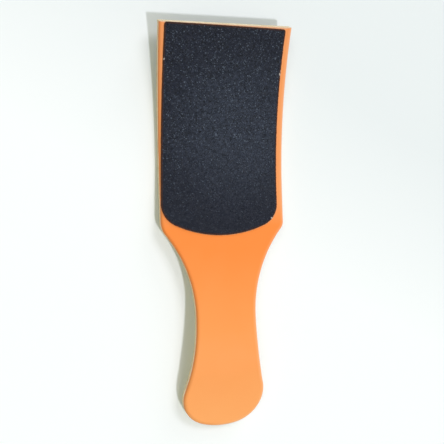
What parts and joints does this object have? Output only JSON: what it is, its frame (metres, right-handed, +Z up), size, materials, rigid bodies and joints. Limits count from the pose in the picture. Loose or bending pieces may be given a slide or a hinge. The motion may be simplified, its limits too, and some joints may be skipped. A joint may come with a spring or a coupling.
{
  "type": "foot file",
  "caption": "Two-sided pedicure foot file: a bent plywood paddle with a flared handle, lacquered orange on top, with abrasive sheets on both faces of its wide head.",
  "frame": {"origin": "centre of the bounding box in plan, on the table that the file lies on", "axes": "+X across the file to its right seen from above, +Y along it towards the head end, +Z up, square to the table"},
  "size_m": [0.0826, 0.252, 0.0188],
  "materials": {
    "orange_lacquer": "satin orange lacquer",
    "clear_lacquer": "clear satin lacquer over sanded birch",
    "birch_along": "bare sanded birch, grain along the file",
    "birch_across": "bare sanded birch, end grain at the long edges",
    "contact_adhesive": "clear amber contact adhesive",
    "backing_cloth": "dark resin-filled cloth",
    "backing_paper": "brown backing paper",
    "coarse_grit": "coarse black silicon carbide grit in resin",
    "fine_grit": "fine dark grey silicon carbide grit in resin"
  },
  "bodies": {
    "root": {"top_lacquer_coat": "orange_lacquer", "top_face_ply": "birch_along", "upper_cross_ply": "birch_across", "centre_ply": "birch_along", "lower_cross_ply": "birch_across", "bottom_face_ply": "birch_along", "bottom_lacquer_coat": "clear_lacquer", "coarse_sheet_adhesive": "contact_adhesive", "coarse_sheet_backing": "backing_cloth", "coarse_grit_coat": "coarse_grit", "fine_sheet_adhesive": "contact_adhesive", "fine_sheet_backing": "backing_paper", "fine_grit_coat": "fine_grit"}
  },
  "joints": []
}
